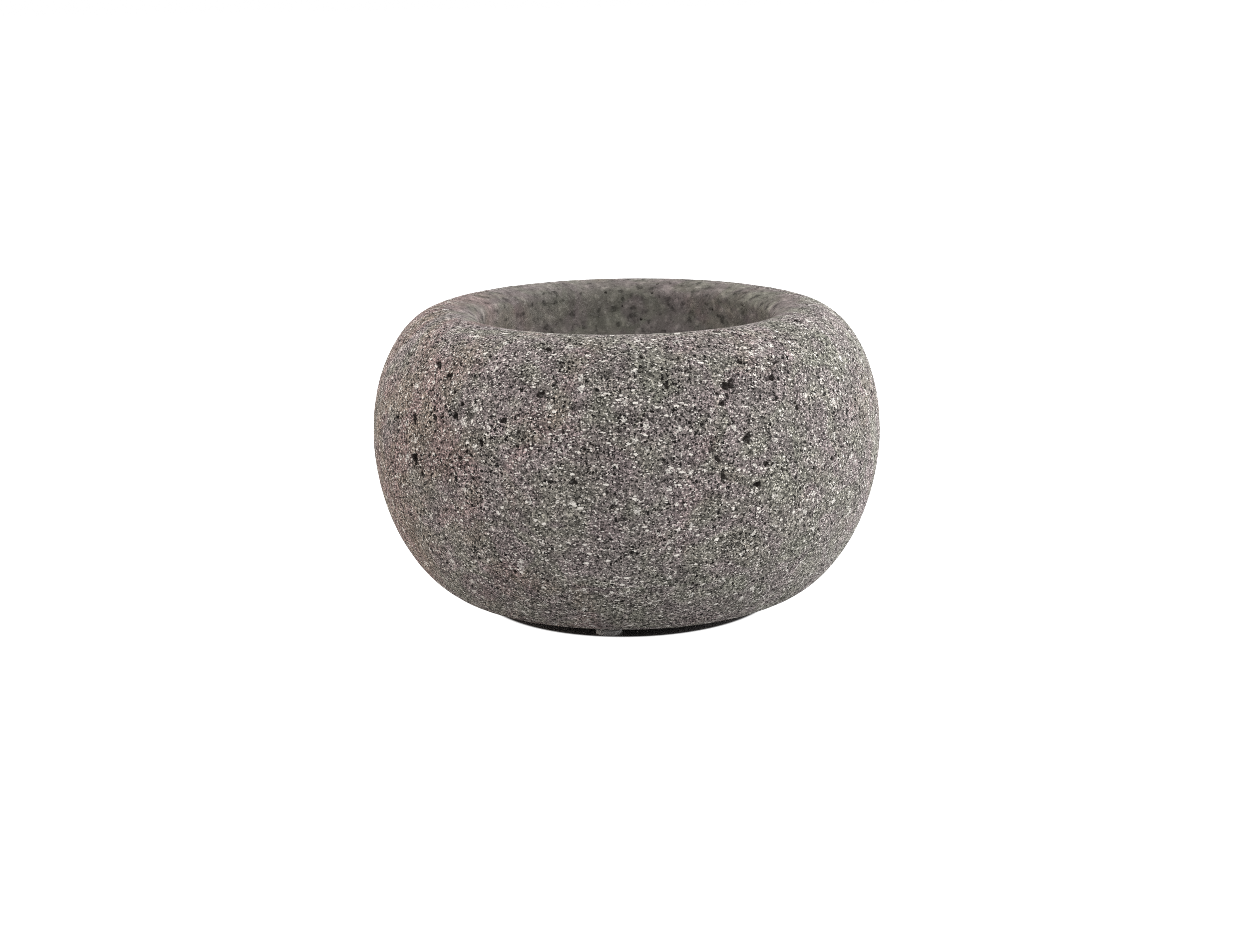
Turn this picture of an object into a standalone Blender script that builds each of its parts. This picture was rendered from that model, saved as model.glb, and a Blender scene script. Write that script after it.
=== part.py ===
"""A small round stone mortar (molcajete) on three self-adhesive bumpers. Metres, +Z up.

The origin is the centre of the three bumpers' undersides, on the mortar's axis of revolution, so the mortar
stands on z = 0. The stone is one solid of revolution: a squat sphere-like bowl, turned and ground, with a thick
rounded rim, an ellipsoidal hollow and a flat ground base.
"""

import math

import bmesh
import bpy
from mathutils import Vector

# Outside of the stone. Heights are above the stone's own flat underside.
BELLY_RADIUS = 0.0700
BELLY_HEIGHT = 0.0446
STONE_HEIGHT = 0.0794
CREST_RADIUS = 0.0496
BASE_RADIUS = 0.0426
SHOULDER_EXPONENT = 2.0
FLANK_EXPONENT = 1.87

# Hollow of the bowl: a wide, softly rounded inner lip, then half of an ellipsoid.
MOUTH_RADIUS = 0.0405
LIP_DROP = 0.0042
HOLLOW_DEPTH = 0.0500

# Round bumpers under the base, one of them near the front (-Y).
PAD_COUNT = 3
PAD_RADIUS = 0.0035
PAD_HEIGHT = 0.0015
PAD_EDGE = 0.0003
PAD_CIRCLE_RADIUS = 0.0415
FIRST_PAD_ANGLE = math.radians(-97.5)

# Clear space left between a bumper and the stone it is stuck to.
CONTACT_GAP = 0.0003

TURNED_SEGMENTS = 64
PAD_SEGMENTS = 32
PAD_EDGE_SEGMENTS = 2
SHOULDER_STEPS = 11
FLANK_STEPS = 11
LIP_STEPS = 7
HOLLOW_STEPS = 11
SHARP_ANGLE = math.radians(35)

STONE_BOTTOM = PAD_HEIGHT + CONTACT_GAP


def clear_scene():
    """Remove every object, so that the scene holds only this part."""
    for thing in list(bpy.data.objects):
        bpy.data.objects.remove(thing, do_unlink=True)


def make_material(name, colour, roughness, metallic=0.0):
    """A plain Principled material."""
    material = bpy.data.materials.new(name)
    material.use_nodes = True
    shader = material.node_tree.nodes["Principled BSDF"]
    shader.inputs["Base Color"].default_value = (*colour, 1.0)
    shader.inputs["Roughness"].default_value = roughness
    shader.inputs["Metallic"].default_value = metallic
    material.diffuse_color = (*colour, 1.0)
    return material


def quarter_arc(start, end, steps, exponent=2.0):
    """Points of a quarter superellipse in (radius, height).

    It leaves start running level and reaches end running upright. An exponent of 2 is a true ellipse. The
    start itself is left out, so that arcs can be chained.
    """
    points = []
    for step in range(1, steps + 1):
        angle = 0.5 * math.pi * step / steps
        across = math.sin(angle) ** (2.0 / exponent)
        along = math.cos(angle) ** (2.0 / exponent) if step < steps else 0.0
        radius = start[0] + (end[0] - start[0]) * across
        height = end[1] + (start[1] - end[1]) * along
        points.append((radius, height))
    return points


def stone_profile():
    """The turned outline from the middle of the hollow, up over the rim and down to the middle of the base."""
    hollow_floor = (0.0, STONE_HEIGHT - LIP_DROP - HOLLOW_DEPTH)
    mouth = (MOUTH_RADIUS, STONE_HEIGHT - LIP_DROP)
    crest = (CREST_RADIUS, STONE_HEIGHT)
    belly = (BELLY_RADIUS, BELLY_HEIGHT)
    base_edge = (BASE_RADIUS, 0.0)

    outline = [hollow_floor]
    outline += quarter_arc(hollow_floor, mouth, HOLLOW_STEPS)
    outline += reversed([crest] + quarter_arc(crest, mouth, LIP_STEPS)[:-1])
    outline += quarter_arc(crest, belly, SHOULDER_STEPS, SHOULDER_EXPONENT)
    outline += reversed([base_edge] + quarter_arc(base_edge, belly, FLANK_STEPS, FLANK_EXPONENT)[:-1])
    outline.append((0.0, 0.0))
    return [(radius, STONE_BOTTOM + height) for radius, height in outline]


def turned_mesh(name, outline, segments):
    """A closed mesh of revolution about Z. The outline starts and ends on the axis, upper end first."""
    work = bmesh.new()
    first_pole = work.verts.new((0.0, 0.0, outline[0][1]))
    last_pole = work.verts.new((0.0, 0.0, outline[-1][1]))
    rings = []
    for radius, height in outline[1:-1]:
        ring = []
        for step in range(segments):
            angle = 2.0 * math.pi * step / segments
            ring.append(work.verts.new((radius * math.cos(angle), radius * math.sin(angle), height)))
        rings.append(ring)
    for step in range(segments):
        following = (step + 1) % segments
        work.faces.new((first_pole, rings[0][step], rings[0][following]))
        for inner, outer in zip(rings, rings[1:]):
            work.faces.new((inner[step], outer[step], outer[following], inner[following]))
        work.faces.new((rings[-1][step], last_pole, rings[-1][following]))
    mesh = bpy.data.meshes.new(name)
    work.to_mesh(mesh)
    work.free()
    return mesh


def pad_mesh(name):
    """A low round bumper standing on z = 0, its origin at the middle of its underside."""
    work = bmesh.new()
    bmesh.ops.create_cone(
        work,
        cap_ends=True,
        segments=PAD_SEGMENTS,
        radius1=PAD_RADIUS,
        radius2=PAD_RADIUS,
        depth=PAD_HEIGHT,
    )
    bmesh.ops.translate(work, verts=work.verts, vec=Vector((0.0, 0.0, 0.5 * PAD_HEIGHT)))
    mesh = bpy.data.meshes.new(name)
    work.to_mesh(mesh)
    work.free()
    return mesh


def add_object(name, mesh, material, parent=None):
    """Link a mesh into the scene under its own name, with smooth shading and crisp edges."""
    mesh.materials.append(material)
    mesh.shade_smooth()
    mesh.set_sharp_from_angle(angle=SHARP_ANGLE)
    thing = bpy.data.objects.new(name, mesh)
    bpy.context.scene.collection.objects.link(thing)
    thing.parent = parent
    return thing


def build_bowl(parent):
    """The stone itself, in one piece."""
    basalt = make_material("basalt", (0.22, 0.205, 0.19), 0.92)
    mesh = turned_mesh("mortar_bowl", stone_profile(), TURNED_SEGMENTS)
    return add_object("mortar_bowl", mesh, basalt, parent)


def build_pads(parent):
    """The bumpers, evenly spaced on a circle at the edge of the flat base."""
    bumper = make_material("bumper", (0.34, 0.33, 0.32), 0.55)
    pads = []
    for index in range(PAD_COUNT):
        name = f"foot_pad_{index + 1}"
        pad = add_object(name, pad_mesh(name), bumper, parent)
        angle = FIRST_PAD_ANGLE + 2.0 * math.pi * index / PAD_COUNT
        pad.location = PAD_CIRCLE_RADIUS * Vector((math.cos(angle), math.sin(angle), 0.0))
        edge = pad.modifiers.new("rounded_edge", "BEVEL")
        edge.width = PAD_EDGE
        edge.segments = PAD_EDGE_SEGMENTS
        edge.limit_method = "ANGLE"
        pads.append(pad)
    return pads


def main():
    clear_scene()
    axis = bpy.data.objects.new("mortar_axis", None)
    bpy.context.scene.collection.objects.link(axis)
    build_bowl(axis)
    build_pads(axis)


main()
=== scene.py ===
"""The looks of a small round stone mortar (molcajete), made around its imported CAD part.

The smooth turned CAD stone is replaced by one closed mesh of the same outline with open pores cut into it,
and each CAD bumper by a moulded one. Lengths are in metres in the geometry, in millimetres in the materials.
"""

import math

import bpy
import numpy as np
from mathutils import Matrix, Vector


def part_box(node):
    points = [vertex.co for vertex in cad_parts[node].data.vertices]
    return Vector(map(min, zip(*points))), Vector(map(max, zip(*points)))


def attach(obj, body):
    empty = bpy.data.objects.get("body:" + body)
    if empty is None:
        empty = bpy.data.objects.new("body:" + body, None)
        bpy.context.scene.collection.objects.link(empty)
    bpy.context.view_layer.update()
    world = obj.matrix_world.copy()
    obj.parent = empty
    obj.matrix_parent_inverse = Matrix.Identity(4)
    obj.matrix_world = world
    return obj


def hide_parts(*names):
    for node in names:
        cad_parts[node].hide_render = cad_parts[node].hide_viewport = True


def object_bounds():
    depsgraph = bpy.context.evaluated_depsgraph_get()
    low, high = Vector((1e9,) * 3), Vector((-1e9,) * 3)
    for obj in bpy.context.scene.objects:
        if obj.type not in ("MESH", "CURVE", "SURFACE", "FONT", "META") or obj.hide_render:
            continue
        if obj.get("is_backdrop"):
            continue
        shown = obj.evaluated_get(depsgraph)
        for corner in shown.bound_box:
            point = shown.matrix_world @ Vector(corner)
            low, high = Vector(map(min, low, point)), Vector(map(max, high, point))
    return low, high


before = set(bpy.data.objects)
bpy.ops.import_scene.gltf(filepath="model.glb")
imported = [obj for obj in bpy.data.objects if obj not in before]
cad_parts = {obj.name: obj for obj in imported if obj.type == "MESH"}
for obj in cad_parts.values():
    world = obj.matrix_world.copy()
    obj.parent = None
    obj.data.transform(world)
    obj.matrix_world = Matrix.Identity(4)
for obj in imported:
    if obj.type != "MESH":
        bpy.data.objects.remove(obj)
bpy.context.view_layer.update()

MM = 0.001

# The stone's outline, as the CAD part has it. Its width, top and underside come from the frame.
STONE_LOW, STONE_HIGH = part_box("mortar_bowl")
BELLY_RADIUS = 0.5 * (STONE_HIGH.x - STONE_LOW.x)
UNDERSIDE = STONE_LOW.z
TOP = STONE_HIGH.z
BELLY_LEVEL = UNDERSIDE + 0.0446
CREST_RADIUS = 0.0496
BASE_RADIUS = 0.0426
MOUTH_RADIUS = 0.0405
MOUTH_LEVEL = TOP - 0.0042
HOLLOW_DEPTH = 0.0500
FLANK_EXPONENT = 1.87

# The stone's mesh: columns round the axis, and the spacing of the rings along the outline.
COLUMNS = 1280
FINE_STEP = 0.36 * MM
HOLLOW_STEP = 0.50 * MM
BASE_STEP = 0.60 * MM
KEPT_TRIANGLES = 190_000

SEED = 20


# ---------------------------------------------------------------- outline of the stone


def quarter_arc(start, end, exponent=2.0, count=400):
    """A quarter superellipse in (radius, height) that leaves start level and reaches end upright."""
    angle = np.linspace(0.0, 0.5 * math.pi, count)
    across = np.sin(angle) ** (2.0 / exponent)
    along = np.clip(np.cos(angle), 0.0, 1.0) ** (2.0 / exponent)
    radius = start[0] + (end[0] - start[0]) * across
    height = end[1] + (start[1] - end[1]) * along
    return np.stack([radius, height], axis=1)


def evenly(curve, step):
    """The same curve with its points a step apart, as near as a whole number of steps allows."""
    length = np.concatenate([[0.0], np.cumsum(np.linalg.norm(np.diff(curve, axis=0), axis=1))])
    wanted = np.linspace(0.0, length[-1], max(2, round(length[-1] / step)) + 1)
    return np.stack([np.interp(wanted, length, curve[:, axis]) for axis in (0, 1)], axis=1)


def stone_outline():
    """Rings from the middle of the hollow to the middle of the base, with the zone that each belongs to."""
    floor = (0.0, MOUTH_LEVEL - HOLLOW_DEPTH)
    mouth = (MOUTH_RADIUS, MOUTH_LEVEL)
    crest = (CREST_RADIUS, TOP)
    belly = (BELLY_RADIUS, BELLY_LEVEL)
    edge = (BASE_RADIUS, UNDERSIDE)
    stretches = [
        ("hollow", evenly(quarter_arc(floor, mouth), HOLLOW_STEP)),
        ("hollow", evenly(quarter_arc(crest, mouth)[::-1], FINE_STEP)),
        ("wall", evenly(quarter_arc(crest, belly), FINE_STEP)),
        ("wall", evenly(quarter_arc(edge, belly, FLANK_EXPONENT)[::-1], FINE_STEP)),
        ("base", evenly(np.array([edge, (0.0, UNDERSIDE)]), BASE_STEP)),
    ]
    points = [stretches[0][1]] + [stretch[1:] for _, stretch in stretches[1:]]
    zones = [[name] * len(part) for (name, _), part in zip(stretches, points)]
    return np.concatenate(points), np.concatenate(zones)


def outline_normals(points):
    """Unit normals of the outline in (radius, height), pointing out of the stone."""
    along = np.gradient(points, axis=0)
    normals = np.stack([-along[:, 1], along[:, 0]], axis=1)
    normals /= np.linalg.norm(normals, axis=1, keepdims=True)
    normals[0] = (0.0, 1.0)
    normals[-1] = (0.0, -1.0)
    return normals


# ---------------------------------------------------------------- surface detail


def lattice_value(cells, seed):
    """A repeatable random number from -1 to 1 for each whole-number lattice point."""
    mixed = cells[..., 0] * 374761393 + cells[..., 1] * 668265263
    mixed = mixed + cells[..., 2] * 2147483647 + seed * 974634777
    mixed = (mixed ^ (mixed >> 13)) * 1274126177
    mixed = (mixed ^ (mixed >> 16)) & 0xFFFFFF
    return mixed / float(0x7FFFFF) - 1.0


def smooth_noise(points, size, seed):
    """Value noise from -1 to 1 at points in space, with features of the given size."""
    scaled = points / size
    cell = np.floor(scaled).astype(np.int64)
    part = scaled - cell
    part = part * part * (3.0 - 2.0 * part)
    total = np.zeros(points.shape[:-1])
    for corner in np.ndindex(2, 2, 2):
        weight = np.prod(np.where(np.array(corner) == 1, part, 1.0 - part), axis=-1)
        total += weight * lattice_value(cell + np.array(corner), seed)
    return total


# Large pores on the front: azimuth from the front in degrees (to the right is positive), height above the
# stone's underside, width and length in millimetres, and the tilt of the length in degrees.
LARGE_PORES = (
    (26, 55, 2.1, 3.6, -48),
    (23, 68, 2.6, 2.9, 10),
    (20, 46, 1.6, 3.2, 70),
    (28, 43, 1.7, 2.2, 0),
    (21, 64, 1.5, 2.0, 20),
    (9, 69, 1.3, 2.6, 80),
    (28, 73, 1.6, 1.8, 0),
    (30, 48, 1.4, 2.0, 30),
    (-19, 67, 1.8, 2.8, -15),
    (-52, 47, 2.4, 3.4, 60),
    (-53, 57, 2.0, 2.8, 75),
    (-50, 71, 1.8, 3.0, 40),
    (-45, 69, 1.8, 2.6, -10),
    (-32, 54, 1.4, 1.9, 60),
    (-11, 46, 1.7, 2.0, 0),
    (-20, 77, 1.5, 2.1, 10),
)

# Porous patches on the wall: azimuth, height, the spread of each (degrees, millimetres), and how many clumps
# of pores there are.
POROUS_PATCHES = (
    (-48, 55, 9, 11, 40),
    (-17, 66, 11, 7, 28),
    (23, 60, 10, 9, 40),
    (62, 58, 12, 14, 14),
    (110, 50, 20, 15, 38),
    (160, 62, 18, 9, 30),
    (-150, 48, 20, 13, 38),
    (-105, 60, 16, 12, 32),
)

# How far the pores of one clump lie apart, in millimetres, the most pores in a clump, and the heights in
# millimetres between which clumps may lie.
CLUMP = 1.9
CLUMP_PORES = 7
CLUMP_LEVELS = (6.0, 79.0)

# Pores scattered over each zone of the stone, and how a pore's walls rise (0.5 is round, 1 is a cone).
SCATTERED = (("wall", 230), ("hollow", 230), ("base", 110))
PORE_ROUNDNESS = 0.75


class Relief:
    """How deep the surface lies below the turned one, on a grid of rings by columns."""

    def __init__(self, outline):
        self.outline = outline
        steps = np.linalg.norm(np.diff(outline, axis=0), axis=1)
        self.along = np.concatenate([[0.0], np.cumsum(steps)])
        self.depth = np.zeros((len(outline), COLUMNS))

    def bubble(self, along, azimuth, width, length, tilt, depth, shape):
        """Cut one round-bottomed pore with an uneven outline. Shape holds the phases of its unevenness."""
        reach = 0.65 * max(width, length)
        rows = np.nonzero(np.abs(self.along - along) < reach)[0]
        if not len(rows):
            return
        radius = max(self.outline[rows, 0].min(), 2.0 * MM)
        half_columns = int(reach / radius / (2.0 * math.pi) * COLUMNS) + 1
        middle = azimuth / (2.0 * math.pi) * COLUMNS
        columns = np.arange(math.floor(middle) - half_columns, math.ceil(middle) + half_columns + 1)
        turn = (columns - middle) / COLUMNS * 2.0 * math.pi
        across = turn[None, :] * self.outline[rows, 0][:, None]
        down = (self.along[rows] - along)[:, None] + 0.0 * across
        u = (across * math.cos(tilt) + down * math.sin(tilt)) / (0.5 * length)
        v = (down * math.cos(tilt) - across * math.sin(tilt)) / (0.5 * width)
        bearing = np.arctan2(v, u)
        uneven = 1.0 + 0.18 * np.cos(2.0 * bearing + shape[0]) + 0.16 * np.cos(3.0 * bearing + shape[1])
        uneven += 0.12 * np.cos(5.0 * bearing + shape[2])
        inside = np.clip(1.0 - (u * u + v * v) / (uneven * uneven), 0.0, 1.0)
        cut = depth * inside**PORE_ROUNDNESS
        target = np.ix_(rows, columns % COLUMNS)
        self.depth[target] = np.maximum(self.depth[target], cut)

    def pore(self, random, along, azimuth, width, length, tilt):
        """One pore of two or three overlapping bubbles."""
        depth = (0.42 + 0.14 * random.random()) * width
        self.bubble(along, azimuth, width, length, tilt, depth, random.uniform(0.0, 6.28, 3))
        radius = max(np.interp(along, self.along, self.outline[:, 0]), 5.0 * MM)
        for _ in range(random.integers(1, 3)):
            size = width * random.uniform(0.35, 0.6)
            bearing = random.uniform(0.0, 2.0 * math.pi)
            self.bubble(
                along + 0.42 * length * math.sin(bearing),
                azimuth + 0.42 * length * math.cos(bearing) / radius,
                size,
                size * random.uniform(1.0, 1.5),
                random.uniform(0.0, math.pi),
                0.45 * size,
                random.uniform(0.0, 6.28, 3),
            )


def front_azimuth(degrees):
    """The angle about +Z of a place on the wall, counted from the front (-Y) towards +X."""
    return math.radians(degrees - 90.0) % (2.0 * math.pi)


def wall_position(relief, zones, height):
    """How far along the outline the outer wall reaches a height."""
    wall = np.nonzero(zones == "wall")[0]
    levels = relief.outline[wall, 1]
    return float(np.interp(-(UNDERSIDE + height), -levels, relief.along[wall]))


def cut_pores(relief, zones):
    """All pores: the large ones as listed, the porous patches, and a thin scatter over the whole stone."""
    random = np.random.default_rng(SEED)
    for azimuth, height, width, length, tilt in LARGE_PORES:
        along = wall_position(relief, zones, height * MM)
        relief.pore(random, along, front_azimuth(azimuth), width * MM, length * MM, math.radians(tilt))
    for azimuth, height, azimuth_spread, height_spread, count in POROUS_PATCHES:
        for _ in range(count):
            turn = front_azimuth(random.normal(azimuth, azimuth_spread))
            level = random.normal(height, height_spread)
            for _ in range(random.integers(1, CLUMP_PORES + 1)):
                width = min(0.55 + random.exponential(0.21), 1.8) * MM
                pore_level = np.clip(level + random.normal(0.0, CLUMP), *CLUMP_LEVELS)
                relief.pore(
                    random,
                    wall_position(relief, zones, pore_level * MM),
                    turn + random.normal(0.0, CLUMP) * MM / BELLY_RADIUS,
                    width,
                    width * random.uniform(1.0, 1.8),
                    random.uniform(0.0, math.pi),
                )
    for zone, count in SCATTERED:
        scatter(relief, random, zones == zone, count)


def scatter(relief, random, where, count):
    """Small pores spread evenly over the area of one zone."""
    rings = np.nonzero(where)[0]
    area = relief.outline[rings, 0] * np.gradient(relief.along[rings])
    chance = np.clip(area, 0.0, None) / np.clip(area, 0.0, None).sum()
    for ring in random.choice(rings, size=count, p=chance):
        width = min(0.55 + random.exponential(0.25), 2.0) * MM
        relief.pore(
            random,
            relief.along[ring],
            random.uniform(0.0, 2.0 * math.pi),
            width,
            width * random.uniform(1.0, 1.6),
            random.uniform(0.0, math.pi),
        )


# ---------------------------------------------------------------- the stone's mesh


def closed_grid(name, rings):
    """A closed mesh from rings of points (ring, column, xyz). The first and last ring are single poles."""
    count = rings.shape[0] - 2
    columns = rings.shape[1]
    vertices = np.concatenate([rings[0, :1], rings[1:-1].reshape(-1, 3), rings[-1, :1]])
    grid = 1 + np.arange(count * columns).reshape(count, columns)
    after = np.roll(grid, -1, axis=1)
    quads = np.stack([grid[:-1], grid[1:], after[1:], after[:-1]], axis=-1).reshape(-1, 4)
    first = np.stack([np.zeros(columns, int), grid[0], after[0]], axis=-1)
    last = np.stack([grid[-1], np.full(columns, len(vertices) - 1), after[-1]], axis=-1)
    corners = np.concatenate([first.ravel(), quads.ravel(), last.ravel()])
    sizes = np.concatenate([np.full(columns, 3), np.full(len(quads), 4), np.full(columns, 3)])
    mesh = bpy.data.meshes.new(name)
    mesh.vertices.add(len(vertices))
    mesh.vertices.foreach_set("co", vertices.astype(np.float32).ravel())
    mesh.loops.add(len(corners))
    mesh.loops.foreach_set("vertex_index", corners.astype(np.int32))
    mesh.polygons.add(len(sizes))
    mesh.polygons.foreach_set("loop_start", np.concatenate([[0], np.cumsum(sizes)[:-1]]).astype(np.int32))
    mesh.update(calc_edges=True)
    mesh.validate()
    return mesh


def ring_values(values):
    """One value per vertex of closed_grid, from a (ring, column) array."""
    return np.concatenate([values[0, :1], values[1:-1].ravel(), values[-1, :1]])


def store(mesh, name, values):
    """Keep a number on each vertex."""
    layer = mesh.attributes.new(name, "FLOAT", "POINT")
    layer.data.foreach_set("value", values.astype(np.float32))


def stored(mesh, name):
    """Read the numbers that store kept."""
    values = np.empty(len(mesh.vertices), np.float32)
    mesh.attributes[name].data.foreach_get("value", values)
    return values


def show(name, mesh, material):
    """Link a mesh into the scene as an object with one material."""
    mesh.materials.append(material)
    thing = bpy.data.objects.new(name, mesh)
    bpy.context.scene.collection.objects.link(thing)
    return thing


def apply_modifiers(thing):
    """Replace an object's mesh by its evaluated one."""
    graph = bpy.context.evaluated_depsgraph_get()
    mesh = bpy.data.meshes.new_from_object(thing.evaluated_get(graph))
    thing.modifiers.clear()
    before = thing.data
    thing.data = mesh
    bpy.data.meshes.remove(before)


# The three strips and two discs that the stone's surface is laid out in, in millimetres of a square sheet.
SHEET = 300.0
STRIP_ORIGINS = ((1.0, 1.0), (150.0, 1.0), (1.0, 104.0))
HOLLOW_CENTRE = (224.0, 178.0)
BASE_CENTRE = (46.0, 252.0)


def lay_out(mesh, outline, zones):
    """Texture coordinates: the wall as three strips of a third of a turn, hollow and base as discs."""
    along = np.concatenate([[0.0], np.cumsum(np.linalg.norm(np.diff(outline, axis=0), axis=1))])
    crest = along[zones == "hollow"][-1]
    edge = along[zones == "wall"][-1]
    swept = np.concatenate([[0.0], np.cumsum(0.5 * (outline[1:, 0] + outline[:-1, 0]) * np.diff(along))])

    place = np.empty(len(mesh.vertices) * 3, np.float32)
    mesh.vertices.foreach_get("co", place)
    place = place.reshape(-1, 3).astype(float)
    turn = np.arctan2(place[:, 1], place[:, 0])
    position = stored(mesh, "along").astype(float)

    corner = np.empty(len(mesh.loops), np.int32)
    mesh.loops.foreach_get("vertex_index", corner)
    faces = corner.reshape(-1, 3)
    middle = position[faces].mean(axis=1)
    facing = np.arctan2(place[faces, 1].mean(axis=1), place[faces, 0].mean(axis=1))

    third = 2.0 * math.pi / 3.0
    strip = np.floor((facing + 0.5 * math.pi + 0.5 * third) / third).astype(int) % 3
    centre = -0.5 * math.pi + strip * third
    from_centre = (turn[faces] - centre[:, None] + math.pi) % (2.0 * math.pi) - math.pi
    origin = np.array(STRIP_ORIGINS)[strip]
    wall_u = origin[:, :1] + (from_centre + 0.5 * third) * BELLY_RADIUS / MM
    wall_v = origin[:, 1:] + (position[faces] - crest) / MM

    disc = np.sqrt(2.0 * np.interp(position, along, swept)) / MM
    hollow = np.stack([disc * np.cos(turn), disc * np.sin(turn)], axis=-1)[faces] + HOLLOW_CENTRE
    base = (place[:, :2] / MM)[faces] * (-1.0, 1.0) + BASE_CENTRE

    flat = np.stack([wall_u, wall_v], axis=-1)
    flat[middle < crest] = hollow[middle < crest]
    flat[middle > edge] = base[middle > edge]
    layer = mesh.uv_layers.new(name="OFBake")
    layer.data.foreach_set("uv", (flat / SHEET).astype(np.float32).ravel())


# The stone's unevenness: the depth and the size of its waves in millimetres, and a seed.
GROUND = ((0.10, 22.0, 1), (0.05, 7.0, 2), (0.045, 2.6, 3))


def make_stone(material):
    """The whole stone as one closed mesh: turned outline, slight hand-ground unevenness, and open pores."""
    outline, zones = stone_outline()
    relief = Relief(outline)
    cut_pores(relief, zones)

    turn = np.arange(COLUMNS) / COLUMNS * 2.0 * math.pi
    compass = np.stack([np.cos(turn), np.sin(turn)], axis=-1)
    normals = outline_normals(outline)
    smooth = np.concatenate(
        [outline[:, :1, None] * compass[None], np.repeat(outline[:, 1:, None], COLUMNS, axis=1)], axis=-1
    )
    outward = np.concatenate(
        [normals[:, :1, None] * compass[None], np.repeat(normals[:, 1:, None], COLUMNS, axis=1)], axis=-1
    )
    ground = sum(depth * MM * smooth_noise(smooth, size * MM, seed) for depth, size, seed in GROUND)
    rings = smooth + outward * (ground - relief.depth)[..., None]

    mesh = closed_grid("basalt_bowl", rings)
    store(mesh, "pore", ring_values(relief.depth / MM))
    store(mesh, "along", ring_values(np.repeat(relief.along[:, None], COLUMNS, axis=1)))
    stone = show("basalt_bowl", mesh, material)
    thin = stone.modifiers.new("thin", "DECIMATE")
    thin.use_collapse_triangulate = True
    faces = 2 * (len(outline) - 2) * COLUMNS
    thin.ratio = KEPT_TRIANGLES / faces
    apply_modifiers(stone)
    lay_out(stone.data, outline, zones)
    stone.data.attributes.remove(stone.data.attributes["along"])
    stone.data.shade_smooth()
    return stone


# ---------------------------------------------------------------- materials


class Nodes:
    """Short forms for building one material's nodes."""

    def __init__(self, name):
        self.material = bpy.data.materials.new(name)
        self.material.use_nodes = True
        self.tree = self.material.node_tree
        self.shader = self.tree.nodes["Principled BSDF"]

    def add(self, kind, inputs, **settings):
        """A new node. Inputs are values or other nodes' outputs, by socket name or number."""
        node = self.tree.nodes.new(kind)
        for name, value in settings.items():
            setattr(node, name, value)
        for key, value in inputs.items():
            self.feed(node.inputs[key], value)
        return node

    def feed(self, socket, value):
        """Link an output to a socket, or set the socket's value."""
        if isinstance(value, bpy.types.NodeSocket):
            self.tree.links.new(value, socket)
        else:
            socket.default_value = value

    def maths(self, operation, a, b=0.0, c=0.0):
        """One arithmetic step."""
        return self.add("ShaderNodeMath", {0: a, 1: b, 2: c}, operation=operation).outputs[0]

    def between(self, value, low, high, out_low=0.0, out_high=1.0):
        """Move a value from one range to another, smoothly and clamped."""
        inputs = {"Value": value, "From Min": low, "From Max": high, "To Min": out_low, "To Max": out_high}
        return self.add("ShaderNodeMapRange", inputs, interpolation_type="SMOOTHSTEP").outputs[0]

    def mix(self, factor, a, b, blend="MIX"):
        """Mix two colours."""
        node = self.add("ShaderNodeMix", {0: factor, 6: a, 7: b}, data_type="RGBA", blend_type=blend)
        return node.outputs[2]

    def noise(self, place, size, detail=2.0, rough=0.5, bend=0.0):
        """Noise with features of about the given size."""
        inputs = {"Vector": place, "Scale": 1.0 / size, "Detail": detail, "Roughness": rough}
        return self.add("ShaderNodeTexNoise", inputs | {"Distortion": bend}).outputs["Fac"]

    def cells(self, place, size):
        """Voronoi cells: the distance from each cell's middle, and two random values per cell."""
        node = self.add("ShaderNodeTexVoronoi", {"Vector": place, "Scale": 1.0 / size})
        parts = self.add("ShaderNodeSeparateColor", {"Color": node.outputs["Color"]})
        return node.outputs["Distance"], parts.outputs[0], parts.outputs[1]

    def ramp(self, value, stops):
        """A colour ramp from (position, grey or colour) stops."""
        node = self.add("ShaderNodeValToRGB", {"Fac": value})
        line = node.color_ramp
        while len(line.elements) < len(stops):
            line.elements.new(0.5)
        for element, (position, colour) in zip(line.elements, stops):
            element.position = position
            element.color = (*colour, 1.0) if isinstance(colour, tuple) else (colour, colour, colour, 1.0)
        return node.outputs["Color"]


# The sets of feldspar laths: how each is turned, how long its cells are in millimetres, and the share of
# cells without a lath.
LATHS = (
    ((0.3, 0.2, 0.1), 1.90, 0.965),
    ((2.6, 1.1, 0.6), 1.60, 0.965),
    ((1.2, 0.5, 2.0), 1.00, 0.925),
    ((0.7, 1.9, 0.4), 0.85, 0.920),
    ((2.1, 0.3, 1.2), 0.65, 0.920),
)

# Two sets of pinholes: the size of their cells in millimetres, and the share of cells without one where
# they are rare and where they are common.
PINHOLES = ((0.80, 0.90, 0.54), (1.35, 0.96, 0.76))

# Sizes of the stone's markings, in millimetres.
HUE_SIZE = 24.0
TINT_SIZE = 13.0
CROWD_SIZE = 9.0
CLOUD_SIZE = 5.0
CLOT_SIZE = 2.7
SPOT_SIZE = 2.3
FINE_GRAIN_SIZE = 0.58
RAGGED_SIZE = 0.45
UNEVEN_SIZE = 0.40
GRAIN_SIZE = 0.31

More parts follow.
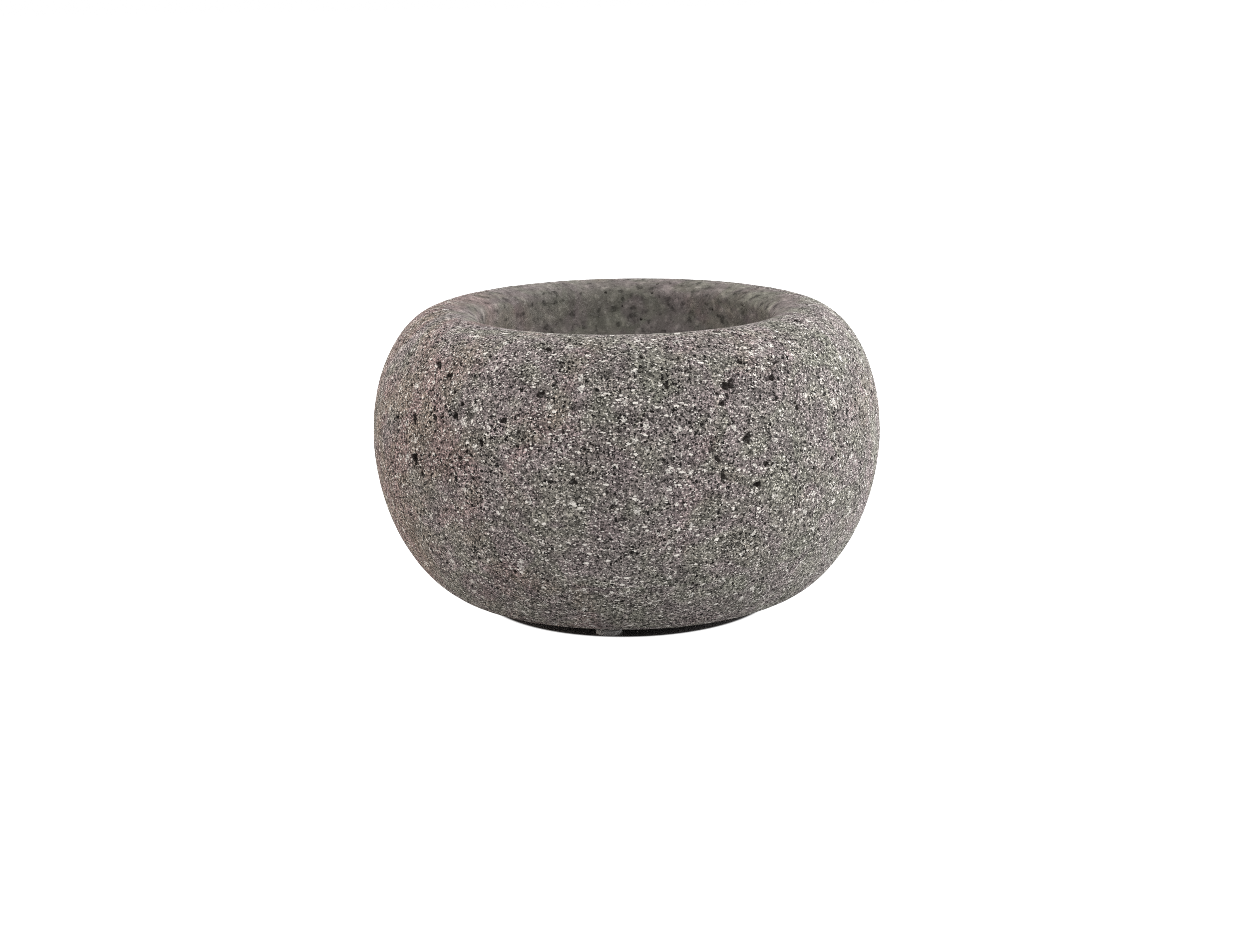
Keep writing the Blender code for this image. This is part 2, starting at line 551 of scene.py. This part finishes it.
# Colours of the stone, and the shades that multiply them, as (position, value) stops.
MATRIX_STOPS = ((0.30, (0.200, 0.160, 0.146)), (0.46, (0.189, 0.172, 0.163)), (0.66, (0.184, 0.176, 0.161)))
GRAIN_STOPS = ((0.0, 0.02), (0.14, 0.08), (0.40, 0.22), (0.75, 0.34), (0.92, 0.50), (1.0, 0.72))
FINE_GRAIN_STOPS = ((0.0, 0.30), (0.5, 0.9), (0.85, 1.0), (1.0, 1.0))
SPOT_STOPS = ((0.30, 0.24), (0.42, 0.60), (0.60, 0.66), (0.70, 1.0))
GRAIN_GAIN = (5.6, 5.6, 5.6, 1.0)
WORN_GAIN = (1.46, 1.47, 1.44, 1.0)
PURPLE_TINT = (1.035, 0.97, 1.02, 1.0)
GREEN_TINT = (0.985, 1.015, 0.95, 1.0)
FELDSPAR = (0.90, 0.87, 0.82, 1.0)
# Painted shade: near-black for the insides of the pinholes and the pores.
PINHOLE_SHADE_COLOUR = (0.006, 0.005, 0.005, 1.0)
PORE_SHADE_COLOUR = (0.012, 0.009, 0.008, 1.0)
BUMP_DEPTH = 0.16 * MM


def basalt_material():
    """Grey vesicular basalt: a speckled matrix, laths and clots of feldspar, pinholes, and open pores, with
    painted shade in the pinholes and pores.
    """
    n = Nodes("basalt")
    place = n.add("ShaderNodeTexCoord", {}).outputs["Object"]
    mm = n.add("ShaderNodeVectorMath", {0: place, "Scale": 1.0 / MM}, operation="SCALE").outputs[0]
    bent = n.add("ShaderNodeTexNoise", {"Vector": mm, "Scale": 1.6, "Detail": 1.0}).outputs["Color"]
    bent = n.add("ShaderNodeVectorMath", {0: bent, "Scale": 0.55}, operation="SCALE").outputs[0]
    bent = n.add("ShaderNodeVectorMath", {0: mm, 1: bent}, operation="ADD").outputs[0]
    axes = n.add("ShaderNodeSeparateXYZ", {0: mm}).outputs
    behind = n.maths("SUBTRACT", axes["Y"], 2.5)
    level = n.add("ShaderNodeCombineXYZ", {0: axes["X"], 1: behind}).outputs[0]
    radius = n.add("ShaderNodeVectorMath", {0: level}, operation="LENGTH").outputs["Value"]
    hollow = n.maths("MULTIPLY", n.between(radius, 51.5, 44.5), n.between(axes["Z"], 6.0, 14.0))

    redder_left = n.between(axes["X"], -75.0, 5.0, -0.16, 0.04)
    hue = n.maths("ADD", n.between(n.noise(mm, HUE_SIZE, 3.0, 0.5, 1.2), 0.2, 0.8, 0.33, 0.67), redder_left)
    matrix = n.ramp(hue, MATRIX_STOPS)
    cloudy = n.between(n.noise(mm, CLOUD_SIZE, 3.0), 0.3, 0.7, 0.84, 1.16)
    matrix = n.mix(1.0, matrix, cloudy, "MULTIPLY")
    tint = n.between(n.noise(mm, TINT_SIZE, 2.0, 0.5, 1.5), 0.36, 0.64)
    tint = n.mix(tint, PURPLE_TINT, GREEN_TINT)
    matrix = n.mix(1.0, matrix, tint, "MULTIPLY")

    _, grain, grain_height = n.cells(mm, GRAIN_SIZE)
    _, fine, _ = n.cells(bent, FINE_GRAIN_SIZE)
    speck = n.ramp(grain, GRAIN_STOPS)
    speck_fine = n.ramp(fine, FINE_GRAIN_STOPS)
    colour = n.mix(1.0, matrix, speck, "MULTIPLY")
    colour = n.mix(1.0, colour, speck_fine, "MULTIPLY")
    colour = n.mix(1.0, colour, GRAIN_GAIN, "MULTIPLY")

    laths = None
    for turn, size, rare in LATHS:
        turned = n.add(
            "ShaderNodeMapping",
            {"Vector": bent, "Rotation": turn, "Scale": (1.0, 2.5, 2.0)},
        ).outputs[0]
        distance, chance, _ = n.cells(turned, size)
        lath = n.maths("MULTIPLY", n.maths("GREATER_THAN", chance, rare), n.between(distance, 0.42, 0.34))
        laths = lath if laths is None else n.maths("MAXIMUM", laths, lath)
    colour = n.mix(n.maths("MULTIPLY", laths, 0.9), colour, FELDSPAR)

    distance, chance, _ = n.cells(bent, CLOT_SIZE)
    ragged = n.between(n.noise(mm, RAGGED_SIZE, 2.0), 0.3, 0.7, -0.16, 0.16)
    ragged = n.maths("ADD", distance, ragged)
    clots = n.maths("MULTIPLY", n.maths("GREATER_THAN", chance, 0.87), n.between(ragged, 0.32, 0.22))
    clot_grain = n.between(grain, 0.0, 1.0, 0.35, 0.95)
    colour = n.mix(n.maths("MULTIPLY", clots, clot_grain), colour, FELDSPAR)

    spots = n.ramp(n.noise(mm, SPOT_SIZE, 1.0, 0.5), SPOT_STOPS)
    worn = n.mix(1.0, matrix, spots, "MULTIPLY")
    worn = n.mix(1.0, worn, WORN_GAIN, "MULTIPLY")
    colour = n.mix(n.maths("MULTIPLY", hollow, 0.90), colour, worn)

    pinholes = None
    uneven = n.between(n.noise(mm, UNEVEN_SIZE, 2.0), 0.3, 0.7, -0.14, 0.14)
    crowd = n.maths("ADD", n.noise(mm, CROWD_SIZE, 1.0), n.between(axes["Z"], 20.0, 66.0, -0.10, 0.06))
    for size, rare, common in PINHOLES:
        distance, chance, _ = n.cells(bent, size)
        there = n.maths("GREATER_THAN", chance, n.between(crowd, 0.40, 0.64, rare, common))
        pinhole = n.maths("MULTIPLY", there, n.between(n.maths("ADD", distance, uneven), 0.34, 0.26))
        pinholes = pinhole if pinholes is None else n.maths("MAXIMUM", pinholes, pinhole)
    pinholes = n.maths("MULTIPLY", pinholes, n.between(hollow, 0.0, 1.0, 0.97, 0.30))
    # Painted shade: each pinhole is coloured near-black for the shade inside it; its dip in the bump is its
    # real shape.
    colour = n.mix(pinholes, colour, PINHOLE_SHADE_COLOUR)

    # Painted shade in the pores: the deeper the pore, the nearer its colour goes to near-black.
    pore = n.add("ShaderNodeAttribute", {}, attribute_name="pore").outputs["Fac"]
    shade = n.between(n.maths("ADD", pore, n.maths("MULTIPLY", uneven, 0.7)), 0.10, 0.42)
    colour = n.mix(n.maths("MULTIPLY", shade, 0.90), colour, PORE_SHADE_COLOUR)

    height = n.maths("MULTIPLY", grain_height, 0.55)
    height = n.maths("ADD", height, n.maths("MULTIPLY", n.noise(mm, UNEVEN_SIZE, 2.0, 0.7), 0.6))
    height = n.maths("SUBTRACT", height, n.maths("MULTIPLY", pinholes, 2.6))
    rough = n.between(hollow, 0.0, 1.0, 1.0, 0.3)
    bump = n.add("ShaderNodeBump", {"Strength": rough, "Distance": BUMP_DEPTH, "Height": height})

    n.feed(n.shader.inputs["Base Color"], colour)
    n.feed(n.shader.inputs["Roughness"], n.between(laths, 0.0, 1.0, 0.95, 0.72))
    n.feed(n.shader.inputs["Normal"], bump.outputs["Normal"])
    n.shader.inputs["Diffuse Roughness"].default_value = 0.9
    n.shader.inputs["Specular IOR Level"].default_value = 0.12
    return n.material


def bumper_material():
    """Grey moulded polyurethane with a little dust on it."""
    n = Nodes("bumper")
    place = n.add("ShaderNodeTexCoord", {}).outputs["Object"]
    mm = n.add("ShaderNodeVectorMath", {0: place, "Scale": 1.0 / MM}, operation="SCALE").outputs[0]
    dust = n.between(n.noise(mm, 0.5, 3.0, 0.6), 0.45, 0.75)
    colour = n.mix(dust, (0.36, 0.35, 0.34, 1.0), (0.28, 0.27, 0.26, 1.0))
    height = n.noise(mm, 0.22, 2.0)
    bump = n.add("ShaderNodeBump", {"Strength": 0.6, "Distance": 0.02 * MM, "Height": height})
    n.feed(n.shader.inputs["Base Color"], colour)
    n.feed(n.shader.inputs["Roughness"], n.between(dust, 0.0, 1.0, 0.42, 0.75))
    n.feed(n.shader.inputs["Normal"], bump.outputs["Normal"])
    return n.material


# How much narrower the painted shadow under the stone is from side to side than from front to back.
SHADE_NARROWING = 1.10
# Painted shadow: the table's dark colour in the gap under the stone.
SHADED_TABLE = (0.12, 0.11, 0.11, 1.0)
LIT_TABLE = (0.50, 0.50, 0.50, 1.0)


def floor_material():
    """Matt white table top, so bright that it looks white everywhere, with a painted shadow in the gap under
    the stone: a dark colour there and no glow.
    """
    n = Nodes("white_table")
    place = n.add("ShaderNodeTexCoord", {}).outputs["Object"]
    shape = (SHADE_NARROWING, 1.0, 1.0)
    oval = n.add("ShaderNodeVectorMath", {0: place, 1: shape}, operation="MULTIPLY").outputs[0]
    radius = n.add("ShaderNodeVectorMath", {0: oval}, operation="LENGTH").outputs["Value"]
    # Painted shadow: near the stone's base edge the table turns dark and stops glowing.
    open_table = n.between(radius, BASE_RADIUS + 1.8 * MM, BASE_RADIUS + 3.2 * MM)
    colour = n.mix(open_table, SHADED_TABLE, LIT_TABLE)
    n.feed(n.shader.inputs["Base Color"], colour)
    n.shader.inputs["Roughness"].default_value = 0.6
    n.shader.inputs["Emission Color"].default_value = (1.0, 1.0, 1.0, 1.0)
    seen = n.add("ShaderNodeLightPath", {}).outputs["Is Camera Ray"]
    n.feed(n.shader.inputs["Emission Strength"], n.maths("MULTIPLY", open_table, seen))
    return n.material


# ---------------------------------------------------------------- bumpers


def make_bumper(name, low, high, material):
    """A moulded bumper: rounded foot, straight side, small shoulder, and the disc of adhesive on its back."""
    radius = 0.5 * (high.x - low.x)
    height = high.z - low.z
    disc_top = UNDERSIDE - 0.02 * MM
    outline = [(0.0, 0.06 * MM), (0.35 * radius, 0.05 * MM), (0.55 * radius, 0.0), (0.86 * radius, 0.0)]
    for step in range(1, 7):
        angle = 0.5 * math.pi * step / 6
        outline.append((radius * (0.86 + 0.14 * math.sin(angle)), 0.14 * radius * (1.0 - math.cos(angle))))
    for step in range(0, 6):
        angle = 0.5 * math.pi * step / 5
        outline.append(
            (radius * (0.90 + 0.10 * math.cos(angle)), height - 0.10 * radius * (1.0 - math.sin(angle)))
        )
    outline += [(0.85 * radius, height), (0.85 * radius, disc_top), (0.0, disc_top)]
    outline = np.array(outline)
    turn = np.arange(64) / 64 * 2.0 * math.pi
    centre = 0.5 * (low + high)
    rings = np.stack(
        [
            centre.x + outline[:, :1] * np.cos(turn)[None],
            centre.y - outline[:, :1] * np.sin(turn)[None],
            low.z + outline[:, 1:] + 0.0 * turn[None],
        ],
        axis=-1,
    )
    mesh = closed_grid(name, rings)
    mesh.shade_smooth()
    mesh.set_sharp_from_angle(angle=math.radians(40))
    return show(name, mesh, material)


# ---------------------------------------------------------------- stage, light and camera

TENT_FRONT = 0.36
TENT_BACK = 0.92
TENT_BRIGHTEST = (0.65, 0.70, -0.25)


def make_floor():
    """A wide white table."""
    mesh = bpy.data.meshes.new("table")
    reach = 6.0
    corners = [(-reach, -reach, 0.0), (reach, -reach, 0.0), (reach, reach, 0.0), (-reach, reach, 0.0)]
    mesh.from_pydata(corners, [], [(0, 1, 2, 3)])
    floor = show("table", mesh, floor_material())
    floor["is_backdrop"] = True


def add_light(name, place, size, power, colour):
    """A square softbox aimed at the mortar."""
    data = bpy.data.lights.new(name, "AREA")
    data.shape = "SQUARE"
    data.size = size
    data.energy = power
    data.color = colour
    light = bpy.data.objects.new(name, data)
    light.location = place
    aim = Vector((0.0, 0.0, 0.04)) - Vector(place)
    light.rotation_euler = aim.to_track_quat("-Z", "Y").to_euler()
    light.visible_camera = False
    bpy.context.scene.collection.objects.link(light)


def light_scene():
    """A white light tent, dimmer on the camera's side, with soft boxes overhead, left (warm) and right."""
    world = bpy.data.worlds.new("studio")
    bpy.context.scene.world = world
    world.use_nodes = True
    tree = world.node_tree
    direction = tree.nodes.new("ShaderNodeTexCoord")
    towards = tree.nodes.new("ShaderNodeVectorMath")
    towards.operation = "DOT_PRODUCT"
    towards.inputs[1].default_value = TENT_BRIGHTEST
    tree.links.new(direction.outputs["Generated"], towards.inputs[0])
    level = tree.nodes.new("ShaderNodeMapRange")
    level.inputs["From Min"].default_value = -0.9
    level.inputs["From Max"].default_value = 0.4
    level.inputs["To Min"].default_value = TENT_FRONT
    level.inputs["To Max"].default_value = TENT_BACK
    tree.links.new(towards.outputs["Value"], level.inputs["Value"])
    lit = tree.nodes["Background"]
    lit.inputs["Color"].default_value = (1.0, 1.0, 1.0, 1.0)
    tree.links.new(level.outputs[0], lit.inputs["Strength"])
    seen = tree.nodes.new("ShaderNodeBackground")
    seen.inputs["Color"].default_value = (1.0, 1.0, 1.0, 1.0)
    path = tree.nodes.new("ShaderNodeLightPath")
    choose = tree.nodes.new("ShaderNodeMixShader")
    tree.links.new(path.outputs["Is Camera Ray"], choose.inputs[0])
    tree.links.new(lit.outputs[0], choose.inputs[1])
    tree.links.new(seen.outputs[0], choose.inputs[2])
    tree.links.new(choose.outputs[0], tree.nodes["World Output"].inputs["Surface"])

    add_light("overhead", (0.05, 0.10, 1.00), 1.0, 2.2, (1.0, 1.0, 1.0))
    add_light("front", (0.20, -0.64, 0.82), 0.6, 5.8, (1.0, 0.985, 0.97))
    add_light("left", (-1.00, 0.22, 0.01), 0.6, 18.8, (1.0, 0.905, 0.82))
    add_light("right", (1.00, 0.22, 0.02), 0.7, 28.0, (0.985, 0.995, 1.0))
    bpy.context.scene.view_settings.view_transform = "Standard"
    bpy.context.scene.cycles.use_denoising = False
    bpy.context.scene.cycles.filter_width = 1.0


CAMERA_DISTANCE = 0.630
CAMERA_PITCH = math.radians(12.5)
CAMERA_ROLL = math.radians(-0.865)
LENS = 65.1
SENSOR = 36.0
AIM = Vector((-0.0006, 0.0, 0.0351))


def place_camera():
    """The view from the front, a little above, with a slight roll."""
    middle = Vector((0.0, 0.0, 0.5 * (UNDERSIDE + TOP)))
    back = Vector((0.0, -math.cos(CAMERA_PITCH), math.sin(CAMERA_PITCH)))
    data = bpy.data.cameras.new("camera")
    data.lens = LENS
    data.sensor_width = SENSOR
    data.clip_start = 0.01
    camera = bpy.data.objects.new("camera", data)
    camera.location = middle + CAMERA_DISTANCE * back
    camera.rotation_euler = (AIM - camera.location).to_track_quat("-Z", "Y").to_euler()
    camera.rotation_euler.rotate_axis("Z", CAMERA_ROLL)
    bpy.context.scene.collection.objects.link(camera)
    bpy.context.scene.camera = camera


# ---------------------------------------------------------------- assembly


place_camera()
light_scene()
make_floor()

stone = make_stone(basalt_material())
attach(stone, "root")
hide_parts("mortar_bowl")

bumper = bumper_material()
for number in (1, 2, 3):
    low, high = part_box(f"foot_pad_{number}")
    pad = make_bumper(f"bumper_{number}", low, high, bumper)
    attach(pad, "root")
    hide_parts(f"foot_pad_{number}")

low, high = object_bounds()
